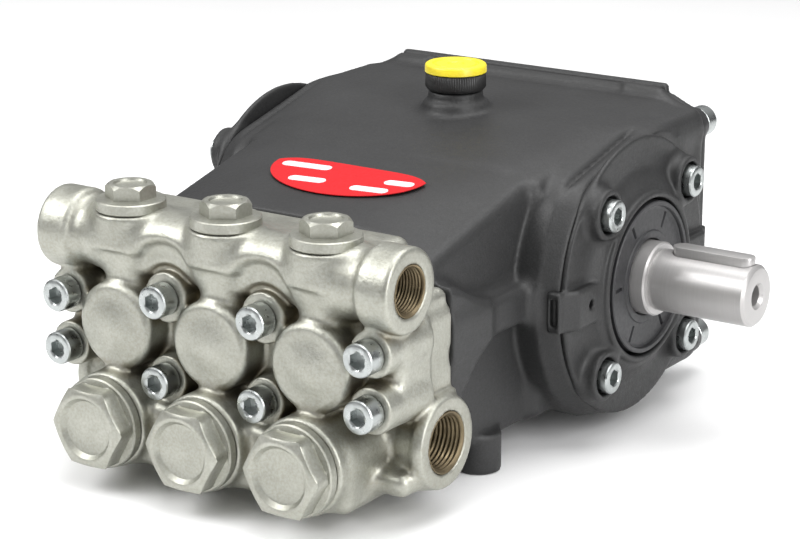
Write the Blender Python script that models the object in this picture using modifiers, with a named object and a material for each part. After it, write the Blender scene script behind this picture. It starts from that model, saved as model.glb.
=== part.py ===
"""Triplex plunger pump for a pressure washer, one object per physical piece.

Design frame in millimetres: X runs along the crankshaft (the shaft leaves at +X),
Y = 0 is the plane of the head screw faces and +Y points to the rear cover,
Z = 0 is half way between the two rows of head screws. place() moves this frame so
that the bounding box is centred in X and Y and stands on Z = 0.
"""
import math

import bmesh
import bpy
from mathutils import Matrix

for old in list(bpy.data.objects):
    bpy.data.objects.remove(old, do_unlink=True)

# ---------------------------------------------------------------- driving sizes (mm)
PITCH = 45.4              # distance between the plungers
CYL_X = (-PITCH, 0.0, PITCH)
AXIS_Z = 3.5              # height of the plungers and of the crankshaft
SHAFT_Y = 170.6           # crankshaft axis behind the head screw faces
THROW = 6.0               # crank throw, half of the stroke
PHASES = (0.0, 120.0, 240.0)
ROD_LEN = 62.0            # crank pin to wrist pin
HEAD_BACK = 52.0          # joint face between manifold and crankcase
GAP = 0.3                 # clearance between neighbouring pieces
HOLE_R = 4.5              # clearance holes of the M8 screws
OUT_X, OUT_Z = 70.3, 10.6     # outer head screws
IN_X, IN_Z = PITCH / 2, 15.9  # inner head screws
CAP_Y, CAP_SEAT = 17.1, 45.0  # outlet valve caps on top
PLUG_Z, PLUG_SEAT = -34.3, -1.5   # inlet valve plugs at the front
UP_Y, UP_Z, UP_X = 18.4, 33.5, 81.0     # outlet gallery and its ports
LOW_Y, LOW_Z, LOW_X = 41.5, -30.3, 81.8  # inlet gallery and its ports
UP_THREAD, LOW_THREAD = 8.35, 10.5       # port thread radii (G 3/8 and G 1/2)
FLANGE_R, FLANGE_PCD = 56.0, 33.0        # bearing flange, half spacing of its screws
FLANGE_X = 86.0           # crankcase side faces
COVER_Y = 232.0           # rear face of the crankcase
COVER_BACK = 242.0        # rear face of the rear cover
COVER_SCREWS = ((-77.0, 51.0), (77.0, 51.0), (-77.0, -43.0), (77.0, -43.0))
SHAFT_END = 142.5
FOOT_Z = -60.0
FILLER_TOP = 79.8
OX, OY, OZ = 22.25, 117.3, FOOT_Z

PARTS = bpy.data.collections.new("pressure_washer_pump")
TOOLS = bpy.data.collections.new("construction_cutters")
bpy.context.scene.collection.children.link(PARTS)
bpy.context.scene.collection.children.link(TOOLS)


# ---------------------------------------------------------------- helpers
def material(name, color, metallic, rough):
    mat = bpy.data.materials.new(name)
    mat.use_nodes = True
    bsdf = mat.node_tree.nodes["Principled BSDF"]
    bsdf.inputs["Base Color"].default_value = (*color, 1.0)
    bsdf.inputs["Metallic"].default_value = metallic
    bsdf.inputs["Roughness"].default_value = rough
    return mat


NICKEL = material("nickel_plated_casting", (0.56, 0.54, 0.48), 0.9, 0.42)
PAINT = material("dark_grey_paint", (0.07, 0.072, 0.075), 0.0, 0.6)
ZINC = material("zinc_plated_steel", (0.68, 0.72, 0.74), 1.0, 0.3)
STEEL = material("ground_steel", (0.6, 0.6, 0.6), 1.0, 0.25)
IRON = material("cast_iron_rod", (0.25, 0.25, 0.26), 0.8, 0.55)
CERAMIC = material("plunger_ceramic", (0.88, 0.86, 0.8), 0.0, 0.15)
RUBBER = material("seal_rubber", (0.03, 0.03, 0.032), 0.0, 0.7)
BRASS = material("packing_brass", (0.66, 0.5, 0.24), 1.0, 0.35)
YELLOW = material("yellow_plastic", (0.85, 0.72, 0.03), 0.0, 0.45)
RED = material("red_label_film", (0.72, 0.03, 0.04), 0.0, 0.35)
GLASS = material("sight_glass_plastic", (0.6, 0.62, 0.55), 0.0, 0.1)


def place(obj, x, y, z):
    obj.location = ((x - OX) / 1000, (y - OY) / 1000, (z - OZ) / 1000)
    return obj


def link(name, mesh, group, mat):
    obj = bpy.data.objects.new(name, mesh)
    group.objects.link(obj)
    if mat is not None:
        mesh.materials.append(mat)
    if group is TOOLS:
        obj.hide_render = True
        obj.display_type = "WIRE"
    return obj


TURN = {"X": (0, math.pi / 2, 0), "Y": (-math.pi / 2, 0, 0), "Z": (0, 0, 0)}
COUNT = [0]


def tool_name(stem):
    COUNT[0] += 1
    return "cut_%s_%03d" % (stem, COUNT[0])


def point(axis, along, c1, c2):
    """World millimetres of a spot on an axis line: c1, c2 are the two cross values."""
    if axis == "X":
        return (along, c1, c2)
    if axis == "Y":
        return (c1, along, c2)
    return (c1, c2, along)


def bar(axis, c1, c2, a, b, r, seg=32, r2=None, turn=0.0, name=None, group=TOOLS, mat=None):
    """Cylinder, cone or hexagon (seg=6) from a to b along an axis."""
    bm = bmesh.new()
    bmesh.ops.create_cone(bm, cap_ends=True, cap_tris=False, segments=seg,
                          radius1=r / 1000, radius2=(r if r2 is None else r2) / 1000,
                          depth=(b - a) / 1000, matrix=Matrix.Rotation(turn, 4, "Z"))
    mesh = bpy.data.meshes.new(name or tool_name("bar"))
    bm.to_mesh(mesh)
    bm.free()
    obj = link(mesh.name, mesh, group, mat)
    obj.rotation_euler = TURN[axis]
    return place(obj, *point(axis, (a + b) / 2, c1, c2))


def box(x0, x1, y0, y1, z0, z1, bevel=0.0, name=None, group=TOOLS, mat=None):
    bm = bmesh.new()
    size = Matrix.Diagonal(((x1 - x0) / 1000, (y1 - y0) / 1000, (z1 - z0) / 1000, 1))
    bmesh.ops.create_cube(bm, size=1.0, matrix=size)
    if bevel:
        bmesh.ops.bevel(bm, geom=bm.edges[:], offset=bevel / 1000, segments=2,
                        profile=0.5, affect="EDGES")
    mesh = bpy.data.meshes.new(name or tool_name("box"))
    bm.to_mesh(mesh)
    bm.free()
    obj = link(mesh.name, mesh, group, mat)
    return place(obj, (x0 + x1) / 2, (y0 + y1) / 2, (z0 + z1) / 2)


def prism(axis, a, b, outline, name=None, group=TOOLS, mat=None):
    """Outline (pairs of the two cross values) pushed from a to b along an axis."""
    bm = bmesh.new()
    low = [bm.verts.new([v / 1000 for v in point(axis, a, *p)]) for p in outline]
    face = bm.faces.new(low)
    push = bmesh.ops.extrude_face_region(bm, geom=[face])
    moved = [v for v in push["geom"] if isinstance(v, bmesh.types.BMVert)]
    step = [v / 1000 for v in point(axis, b - a, 0.0, 0.0)]
    bmesh.ops.translate(bm, verts=moved, vec=step)
    bmesh.ops.recalc_face_normals(bm, faces=bm.faces[:])
    mesh = bpy.data.meshes.new(name or tool_name("prism"))
    bm.to_mesh(mesh)
    bm.free()
    return place(link(mesh.name, mesh, group, mat), 0.0, 0.0, 0.0)


def lathe(axis, c1, c2, start, profile, seg=32, name=None, group=TOOLS, mat=None):
    """Turned piece: profile is (along, radius) measured from start."""
    area = sum(a[0] * b[1] - b[0] * a[1] for a, b in zip(profile, profile[1:] + profile[:1]))
    if area < 0:
        profile = profile[::-1]
    verts = [(r / 1000, 0.0, h / 1000) for h, r in profile]
    closed = profile[0][1] > 0 and profile[-1][1] > 0
    edges = [(i, i + 1) for i in range(len(verts) - 1)]
    if closed:
        edges.append((len(verts) - 1, 0))
    mesh = bpy.data.meshes.new(name or tool_name("lathe"))
    mesh.from_pydata(verts, edges, [])
    obj = link(mesh.name, mesh, group, mat)
    spin = obj.modifiers.new("spin", "SCREW")
    spin.axis = "Z"
    spin.steps = spin.render_steps = seg
    spin.use_merge_vertices = True
    spin.merge_threshold = 0.00001
    spin.use_normal_calculate = False
    obj.rotation_euler = TURN[axis]
    return place(obj, *point(axis, start, c1, c2))


def combine(obj, others, operation):
    for other in others:
        mod = obj.modifiers.new(operation.lower(), "BOOLEAN")
        mod.operation = operation
        mod.solver = "EXACT"
        mod.object = other
    return obj


def add(obj, *others):
    return combine(obj, others, "UNION")


def cut(obj, *others):
    return combine(obj, others, "DIFFERENCE")


def socket_screw(name, axis, c1, c2, face, into, shank, mat, r_head=6.5, h_head=8.0, key=6.0):
    """Socket head cap screw: face is the head's free face, into is +1 or -1."""
    if into > 0:
        a, b, s0, s1, k0, k1 = face, face + h_head, face, face + h_head + shank, -1.0, 4.5
    else:
        a, b, s0, s1, k0, k1 = face - h_head, face, face - h_head - shank, face, -4.5, 1.0
    head = bar(axis, c1, c2, a, b, r_head, 12, name=name, group=PARTS, mat=mat)
    body = bar(axis, c1, c2, s0 + (0.5 if into > 0 else 0), s1 - (0 if into > 0 else 0.5),
               4.0, 8)
    add(head, body)
    cut(head, bar(axis, c1, c2, face + k0, face + k1, key / math.sqrt(3), 6))
    return head


# ---------------------------------------------------------------- manifold
def build_manifold():
    body = box(-58, 58, 15, HEAD_BACK, -46, 40, 3.0, "manifold", PARTS, NICKEL)
    add(body, box(-77, 77, 13, HEAD_BACK, -18, 20, 2.5))
    add(body, box(-62, 62, 5, HEAD_BACK, -52, -25, 3.0))
    add(body, bar("X", UP_Y, UP_Z, -62, 62, 11.4, 16))
    for side in (-1, 1):
        lo, hi = sorted((side * 60, side * UP_X))
        add(body, bar("X", UP_Y, UP_Z, lo, hi, 16.5, 16))
        lo, hi = sorted((side * 50, side * 78))
        add(body, bar("X", LOW_Y, LOW_Z, lo, hi, 14.0, 16))
        lo, hi = sorted((side * 77, side * LOW_X))
        add(body, bar("X", LOW_Y, LOW_Z, lo, hi, 17.8, 20))
    for x in CYL_X:
        add(body, bar("Z", x, CAP_Y, 28, CAP_SEAT, 14.5, 20))
        add(body, bar("Z", x, CAP_Y + 1, 0, 30, 11.5, 16))
        add(body, bar("Y", x, AXIS_Z - 0.5, 4.0, 22, 16.5, 20))
        add(body, bar("Y", x, PLUG_Z, PLUG_SEAT, 34, 19.0, 20))
    for x, z, back in screw_seats():
        add(body, bar("Y", x, z, 8 + GAP, back, 8.6, 12))
    cut(body, box(-64.6, 64.6, HEAD_BACK, 70, -60, -10))
    for x, z, _ in screw_seats():
        cut(body, bar("Y", x, z, -20, 8 + GAP, 7.6, 12))
        cut(body, bar("Y", x, z, 7, HEAD_BACK + 1, HOLE_R, 10))
    for x in CYL_X:
        cut(body, bar("Y", x, AXIS_Z, 38, HEAD_BACK + 1, 15.0, 16))
        cut(body, bar("Y", x, AXIS_Z, 13.5, 39, 10.0, 16))
        cut(body, bar("Z", x, CAP_Y + 2, 6, 23, 4.5, 10))
        cut(body, bar("Z", x, CAP_Y, 22, CAP_SEAT + 1, 8.6, 12))
        cut(body, bar("Z", x, CAP_Y, 38.5, CAP_SEAT + 1, 10.3, 12))
        cut(body, bar("Y", x, PLUG_Z, PLUG_SEAT - 1, 28, 11.5, 16))
        cut(body, bar("Y", x, PLUG_Z, PLUG_SEAT - 1, 11, 14.3, 16))
        cut(body, bar("Z", x, 20.5, -28, 0, 5.0, 10))
        cut(body, bar("Y", x, PLUG_Z + 2, 27, LOW_Y, 6.5, 12))
    cut(body, bar("X", UP_Y, UP_Z, -90, 90, 5.5, 12))
    cut(body, bar("X", LOW_Y, LOW_Z, -90, 90, 6.5, 12))
    for side in (-1, 1):
        lo, hi = sorted((side * 66, side * 90))
        cut(body, bar("X", UP_Y, UP_Z, lo, hi, UP_THREAD, 16))
        cut(body, bar("X", LOW_Y, LOW_Z, lo, hi, LOW_THREAD, 16))
    return body


def screw_seats():
    """Head screws: x, z and how far back the casting around each one reaches."""
    seats = []
    for side_z in (1, -1):
        seats += [(-OUT_X, side_z * OUT_Z, HEAD_BACK), (-IN_X, side_z * IN_Z, 22.0),
                  (IN_X, side_z * IN_Z, 22.0), (OUT_X, side_z * OUT_Z, HEAD_BACK)]
    return seats


def build_head_hardware():
    for i, (x, z, _) in enumerate(screw_seats()):
        socket_screw("head_screw_%d" % (i + 1), "Y", x, z, 0.0, 1, 60.0, ZINC)
    for i, x in enumerate(CYL_X):
        cap = bar("Z", x, CAP_Y, 49, 55.4, 19.6 / 2, 6,
                  name="outlet_cap_%d" % (i + 1), group=PARTS, mat=NICKEL)
        add(cap, bar("Z", x, CAP_Y, CAP_SEAT + GAP, 49.5, 13.5, 20))
        add(cap, bar("Z", x, CAP_Y, 39.0, CAP_SEAT + 1, 9.9, 16))
        cut(cap, bar("Z", x, CAP_Y, 54.2, 57, 6.0, 16))
        plug = bar("Y", x, PLUG_Z, -14.0, -5.5, 17.3, 6, turn=math.pi / 6,
                   name="inlet_plug_%d" % (i + 1), group=PARTS, mat=NICKEL)
        add(plug, bar("Y", x, PLUG_Z, -6.0, PLUG_SEAT - GAP, 17.8, 24))
        add(plug, bar("Y", x, PLUG_Z, -3.0, 10.5, 13.9, 20))
        cut(plug, bar("Y", x, PLUG_Z, -16, -12.4, 12.0, 20))
        cut(plug, bar("Y", x, PLUG_Z, 4.0, 12, 10.5, 16))
        lathe("Z", x, CAP_Y, 22 + GAP, [(0, 0), (0, 7.4), (2.2, 7.4), (3.4, 4.0), (9, 4.0),
                                        (9, 0)], 16,
              "outlet_valve_%d" % (i + 1), PARTS, STEEL)
        lathe("Y", x, PLUG_Z + 1.0, 28 - GAP, [(0, 0), (0, 9.0), (-2.4, 9.0), (-3.6, 5.0),
                                               (-10, 5.0), (-10, 0)], 16,
              "inlet_valve_%d" % (i + 1), PARTS, STEEL)
        lathe("Y", x, AXIS_Z, 38 + GAP, [(0, 9.4), (0, 14.6), (13.4, 14.6), (13.4, 9.4)], 20,
              "packing_%d" % (i + 1), PARTS, BRASS)


# ---------------------------------------------------------------- crankcase
def rear_outline():
    """Outline (x, z) shared by the rear cover and the crankcase's rear flange."""
    half = [(0, 68), (57, 68)]
    half += [(57 + 9 * math.sin(a), 59 + 9 * math.cos(a)) for a in (0.4, 0.8, 1.2)]
    half += [(70.5, 58.3)]
    half += [(77 + 7.5 * math.sin(a), 51 + 7.5 * math.cos(a)) for a in (0, 0.5, 1.0, 1.57)]
    half += [(77 + 7.5 * math.sin(a), -43 + 7.5 * math.cos(a))
             for a in (1.57, 2.1, 2.6, math.pi)]
    half += [(66, -52), (0, -52)]
    return half + [(-x, z) for x, z in half[-2:0:-1]]


def build_crankcase():
    body = prism("X", -80, 80, [(HEAD_BACK + GAP, -44), (90, -48), (COVER_Y, -50),
                                (COVER_Y, 63.5), (173, 61), (HEAD_BACK + GAP, 43.4)],
                 "crankcase", PARTS, PAINT)
    plan = [(50, -64), (70, -64), (73, -67), (98, -67), (120, -71), (240, -71)]
    plan = [(-x, y) for y, x in plan] + [(x, y) for y, x in plan[::-1]]
    combine(body, [prism("Z", -56, 70, plan)], "INTERSECT")
    add(body, box(-77, 77, HEAD_BACK + GAP, 70, -18, 20, 2.0))
    add(body, box(-75, 75, 60, 124, -3.5, 12.5, 2.0))
    for side in (-1, 1):
        lo, hi = sorted((side * 60, side * FLANGE_X))
        add(body, bar("X", SHAFT_Y, AXIS_Z, lo, hi, 57.0, 32))
        lo, hi = sorted((side * 60, side * 73.5))
        add(body, bar("X", SHAFT_Y, AXIS_Z, lo, hi, 59.5, 32))
        for y in (92.0, 222.0):
            add(body, bar("Z", side * 63.7, y, FOOT_Z, -44, 8.8, 16))
    add(body, prism("Y", 204, COVER_Y, rear_outline()))
    for x, z in COVER_SCREWS:
        add(body, bar("Y", x, z, 214, 230, 7.2, 16))
    add(body, bar("Z", 0, 173, 55, 66.4, 12.6, 16))
    cut(body, prism("X", -64, 64, [(130, -42), (240, -44), (240, 57), (173, 55), (130, 32)]))
    for x in CYL_X:
        cut(body, bar("Y", x, AXIS_Z, 72, 132, 18.35, 24))
        cut(body, bar("Y", x, AXIS_Z, 50, 62, 14.0, 16))
        cut(body, bar("Y", x, AXIS_Z, 60, 74, 9.5, 16))
    for x, z, _ in screw_seats():
        cut(body, bar("Y", x, z, 50, 69, HOLE_R, 10))
    for side in (-1, 1):
        lo, hi = sorted((side * 60, side * 90))
        cut(body, bar("X", SHAFT_Y, AXIS_Z, lo, hi, 40.3, 28))
        for y, z in flange_screw_spots():
            lo, hi = sorted((side * 69, side * 90))
            cut(body, bar("X", y, z, lo, hi, HOLE_R, 10))
    for x, z in COVER_SCREWS:
        cut(body, bar("Y", x, z, 216, 235, HOLE_R, 10))
    cut(body, bar("Z", 0, 173, 50, 70, 8.6, 16))
    return body


def flange_screw_spots():
    return [(SHAFT_Y + sy * FLANGE_PCD, AXIS_Z + sz * FLANGE_PCD)
            for sz in (1, -1) for sy in (-1, 1)]


def build_flange(side, name):
    """Bearing flange; the +X one is open for the shaft, the -X one is closed."""
    def span(a, b):
        return sorted((side * a, side * b))

    def disc(a, b, r, seg=48):
        return bar("X", SHAFT_Y, AXIS_Z, *span(a, b), r, seg)

    body = bar("X", SHAFT_Y, AXIS_Z, *span(FLANGE_X + GAP, 90 - GAP), FLANGE_R, 48,
               name=name, group=PARTS, mat=PAINT)
    add(body, disc(88, 95, 37.0, 28))
    add(body, disc(66.5, 88, 40.0, 28))
    for way in (-1, 1):
        y0, y1 = sorted((SHAFT_Y + way * 30, SHAFT_Y + way * 56.5))
        x0, x1 = span(88, 92.3)
        add(body, box(x0, x1, y0, y1, -6.0, 10.2, 0.8))
        cut(body, bar("X", SHAFT_Y + way * 42, 2.2, *span(85, 95), 1.8, 10))
    cut(body, disc(60, 83.3, 31.3, 28))
    if side > 0:
        cut(body, disc(80, 97, 25.0, 20), disc(86.3, 97, 32.3, 28))
    else:
        cut(body, disc(93, 97, 30.0, 28))
    for y, z in flange_screw_spots():
        cut(body, bar("X", y, z, *span(84, 97), HOLE_R, 10))
    for i, (y, z) in enumerate(flange_screw_spots()):
        socket_screw("flange_screw_%s_%d" % ("right" if side > 0 else "left", i + 1),
                     "X", y, z, side * 98.0, -side, 20.0, ZINC)
    lathe("X", SHAFT_Y, AXIS_Z, side * 67.0,
          [(0, 15.3), (0, 30.9), (side * 16, 30.9), (side * 16, 15.3)], 32,
          "bearing_right" if side > 0 else "bearing_left", PARTS, STEEL)
    return body


def build_case_hardware():
    build_flange(1, "bearing_flange_right")
    build_flange(-1, "bearing_flange_left")
    seal = lathe("X", SHAFT_Y, AXIS_Z, 86.6,
                 [(0, 15.4), (0, 32.0), (8.4, 32.0), (8.4, 29.5), (7.0, 29.5), (7.0, 19.0),
                  (7.8, 19.0), (7.8, 15.4)], 40, "shaft_seal", PARTS, RUBBER)
    for k in range(6):
        a = math.radians(60 * k + 30)
        slot = box(92.8, 94, -0.5, 0.5, 21.0, 27.5)
        slot.rotation_euler = (a, 0, 0)
        place(slot, 93.9, SHAFT_Y - 24.2 * math.sin(a), AXIS_Z + 24.2 * math.cos(a))
        cut(seal, slot)
    cover = prism("Y", COVER_Y + GAP, COVER_BACK - 2.0, rear_outline(), "rear_cover", PARTS,
                  PAINT)
    add(cover, box(-62, 62, 236, COVER_BACK, -46, 60, 1.5))
    cut(cover, box(-58, 58, COVER_Y - 5, 235.5, -40, 52))
    for i, (x, z) in enumerate(COVER_SCREWS):
        cut(cover, bar("Y", x, z, 230, 245, HOLE_R, 10))
        socket_screw("cover_screw_%d" % (i + 1), "Y", x, z, 248.3 + GAP, -1, 22.0, ZINC)
    cut(cover, bar("Y", 0, AXIS_Z, 230, 245, 12.3, 24))
    glass = lathe("Y", 0, AXIS_Z, 0, [(237, 0), (237, 11.9), (242.3, 11.9), (242.3, 15.0),
                                      (245.0, 15.0), (246.0, 13.5), (246.0, 10.0),
                                      (244.4, 9.0), (244.4, 0)], 32, "sight_glass", PARTS, GLASS)
    cap = bar("Z", 0, 173, 69.0, FILLER_TOP - 2.0, 12.8, 28, name="filler_cap", group=PARTS,
              mat=YELLOW)
    add(cap, bar("Z", 0, 173, FILLER_TOP - 3.0, FILLER_TOP, 12.4, 28, r2=12.0))
    add(cap, bar("Z", 0, 173, 57.0, 70.0, 8.2, 16))
    return cover, glass


def build_label():
    """Half-moon of thin film lying on the sloping top of the crankcase."""
    top = [(x, 7.6 - 7.0 * (abs(x) / 36.5) ** 6) for x in range(-36, 37, 4)]
    low = [(x, 2.0 - 23.6 * math.sqrt(1 - (x / 36.5) ** 2)) for x in range(36, -37, -4)]
    slope = math.atan2(61 - 43.4, 173 - HEAD_BACK - GAP)
    film = prism("Z", 0.0, 0.5, top + low, "label", PARTS, RED)
    film.rotation_euler = (slope, 0, 0)
    z = 43.4 + (93 - HEAD_BACK - GAP) * math.tan(slope) + 0.35
    return place(film, 0.0, 93.0, z)


# ---------------------------------------------------------------- running gear
def build_crank():
    shaft = bar("X", SHAFT_Y, AXIS_Z, 57, 100, 15.0, 28, name="crankshaft", group=PARTS,
                mat=STEEL)
    add(shaft, bar("X", SHAFT_Y, AXIS_Z, 99, SHAFT_END - 1.5, 12.5, 28))
    add(shaft, bar("X", SHAFT_Y, AXIS_Z, SHAFT_END - 2, SHAFT_END, 12.5, 28, r2=11.2))
    add(shaft, bar("X", SHAFT_Y, AXIS_Z, -82.8, -57, 15.0, 28))
    edges = (-59.0, -CYL_X[2] - 9.3)
    webs = [edges, (-PITCH + 9.3, -9.3), (9.3, PITCH - 9.3), (PITCH + 9.3, 59.0)]
    for a, b in webs:
        add(shaft, bar("X", SHAFT_Y, AXIS_Z, a, b, 23.5, 24))
    for x, phase in zip(CYL_X, PHASES):
        y, z = crank_pin(phase)
        add(shaft, bar("X", y, z, x - 9.8, x + 9.8, 17.0, 24))
    cut(shaft, bar("X", SHAFT_Y, AXIS_Z, SHAFT_END - 20, SHAFT_END + 1, 4.2, 10))
    cut(shaft, slot_shape(105.2, 140.9, 12.5 - 4.0, 12.5 + 5, 4.0 + GAP))
    slot_shape(105.5, 140.6, 12.5 - 3.7, 12.5 + 3.0, 4.0, "shaft_key", PARTS, STEEL)
    return shaft


def slot_shape(x0, x1, z0, z1, r, name=None, group=TOOLS, mat=None):
    """Round-ended bar along X, centred over the shaft axis."""
    pts = []
    for k in range(9):
        a = -math.pi / 2 + math.pi * k / 8
        pts.append((x1 - r + r * math.cos(a), SHAFT_Y + r * math.sin(a)))
    for k in range(9):
        a = math.pi / 2 + math.pi * k / 8
        pts.append((x0 + r + r * math.cos(a), SHAFT_Y + r * math.sin(a)))
    return prism("Z", AXIS_Z + z0, AXIS_Z + z1, pts, name, group, mat)


def crank_pin(phase):
    a = math.radians(phase)
    return SHAFT_Y + THROW * math.cos(a), AXIS_Z + THROW * math.sin(a)


def build_cylinder(i, x, phase):
    py, pz = crank_pin(phase)
    wy = py - ROD_LEN
    rod = bar("X", py, pz, x - 8.8, x + 8.8, 25.0, 24, name="connecting_rod_%d" % (i + 1),
              group=PARTS, mat=IRON)
    add(rod, box(x - 5, x + 5, wy + 3, py - 18, pz - 5.5, pz + 5.5, 1.0))
    add(rod, bar("X", wy, pz, x - 6, x + 6, 7.7, 14))
    cut(rod, bar("X", py, pz, x - 12, x + 12, 17.3, 24))
    cut(rod, bar("X", wy, pz, x - 12, x + 12, 5.3, 12))
    bar("X", wy, pz, x - 9.5, x + 9.5, 5.0, 20, name="wrist_pin_%d" % (i + 1), group=PARTS,
        mat=STEEL)
    mid = SHAFT_Y - ROD_LEN + THROW * math.cos(math.radians(phase))
    lathe("Y", x, AXIS_Z, mid, [(-28, 0), (-28, 9.0), (-27, 18.0), (12, 18.0), (12, 15.4),
                                (-22, 15.4), (-22, 0)], 32,
          "guide_%d" % (i + 1), PARTS, IRON)
    lathe("Y", x, AXIS_Z, mid, [(-86, 0), (-86, 7.6), (-84.6, 9.0), (-28 - GAP, 9.0),
                                (-28 - GAP, 0)], 32,
          "plunger_%d" % (i + 1), PARTS, CERAMIC)


build_manifold()
build_head_hardware()
build_crankcase()
build_case_hardware()
build_label()
build_crank()
for index, (cyl_x, cyl_phase) in enumerate(zip(CYL_X, PHASES)):
    build_cylinder(index, cyl_x, cyl_phase)
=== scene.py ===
"""Pressure washer pump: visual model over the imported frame."""
import math

import bmesh
import bpy
import numpy as np
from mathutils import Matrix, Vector


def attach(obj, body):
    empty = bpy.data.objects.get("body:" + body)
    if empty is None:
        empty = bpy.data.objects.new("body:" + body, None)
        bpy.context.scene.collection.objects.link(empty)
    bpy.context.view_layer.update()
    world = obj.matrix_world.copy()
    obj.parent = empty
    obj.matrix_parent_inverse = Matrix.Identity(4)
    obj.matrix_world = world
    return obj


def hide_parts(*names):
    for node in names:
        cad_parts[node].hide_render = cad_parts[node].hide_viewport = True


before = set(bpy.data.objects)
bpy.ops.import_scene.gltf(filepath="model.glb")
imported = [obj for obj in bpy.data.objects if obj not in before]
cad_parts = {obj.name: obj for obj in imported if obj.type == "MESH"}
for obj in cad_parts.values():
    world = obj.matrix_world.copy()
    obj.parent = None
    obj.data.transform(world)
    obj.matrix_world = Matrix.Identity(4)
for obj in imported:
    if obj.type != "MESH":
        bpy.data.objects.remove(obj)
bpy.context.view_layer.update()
GRID_TYPE = np.float32
MM = 1000.0

# ------------------------------------------------------------------ design frame, mm
# The design frame has x along the crankshaft, y from the manifold's front to the rear and z up.
OFF = np.array([22.25, 117.3, -60.0])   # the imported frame's origin
PITCH = 45.4                            # from cylinder to cylinder
CYL_X = (-PITCH, 0.0, PITCH)
AX_Z = 3.5                              # height of the crankshaft and plungers
SHAFT_Y = 170.6
SHAFT_END = 142.5
# Ports: upper outlets, lower inlets; X is the port's face
UP_Y, UP_Z, UP_X = 18.4, 33.5, 81.0
LOW_Y, LOW_Z, LOW_X = 41.5, -30.3, 81.8
# Outlet caps stand on the manifold's top, inlet plugs in its front
CAP_Y, CAP_SEAT, CAP_TOP = 17.1, 45.0, 55.4
PLUG_Z, PLUG_SEAT, PLUG_FACE = -34.3, -1.5, -14.0
BACK = 52.0                             # the manifold's rear face
HEAD_SCREWS = [(-70.3, 10.6), (-22.7, 15.9), (22.7, 15.9), (70.3, 10.6),
               (-70.3, -10.6), (-22.7, -15.9), (22.7, -15.9), (70.3, -10.6)]
HEAD_SEAT = 8.3                         # seat of the head screws
IN_SCREWS = [spot for spot in HEAD_SCREWS if abs(spot[0]) < 50]
OUT_SCREWS = [spot for spot in HEAD_SCREWS if abs(spot[0]) > 50]
COVER_SCREWS = ((-77.0, 51.0), (77.0, 51.0), (-77.0, -43.0), (77.0, -43.0))
FLANGE_SPOTS = [(SHAFT_Y + sy * 33.0, AX_Z + sz * 33.0) for sz in (1, -1) for sy in (-1, 1)]
# Crankcase: front face, filler neck and rear face, and how its top rises to the neck
FRONT_Y, FRONT_TOP = 52.3, 43.4
FILLER_Y, CREST = 173, 61
REAR_Y = 232
SLOPE = math.atan2(CREST - FRONT_TOP, FILLER_Y - FRONT_Y)
FILLER_TOP = 79.8
CLEAR_R = 4.5                           # clearance hole of an M8 screw
# Castings: most triangles kept, and the distances at which a corner counts as a cavity
FACE_LIMIT = 190000
CAVITY_REACH = (2.5, 6.0)
# A hexagon's corners lie this part further out than its flats
HEX_EXCESS = 0.1547
FLOOR_HALF = 1.25                       # metres


def metres(points):
    """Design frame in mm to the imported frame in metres."""
    return (np.asarray(points, dtype=float) - OFF) / MM


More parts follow.
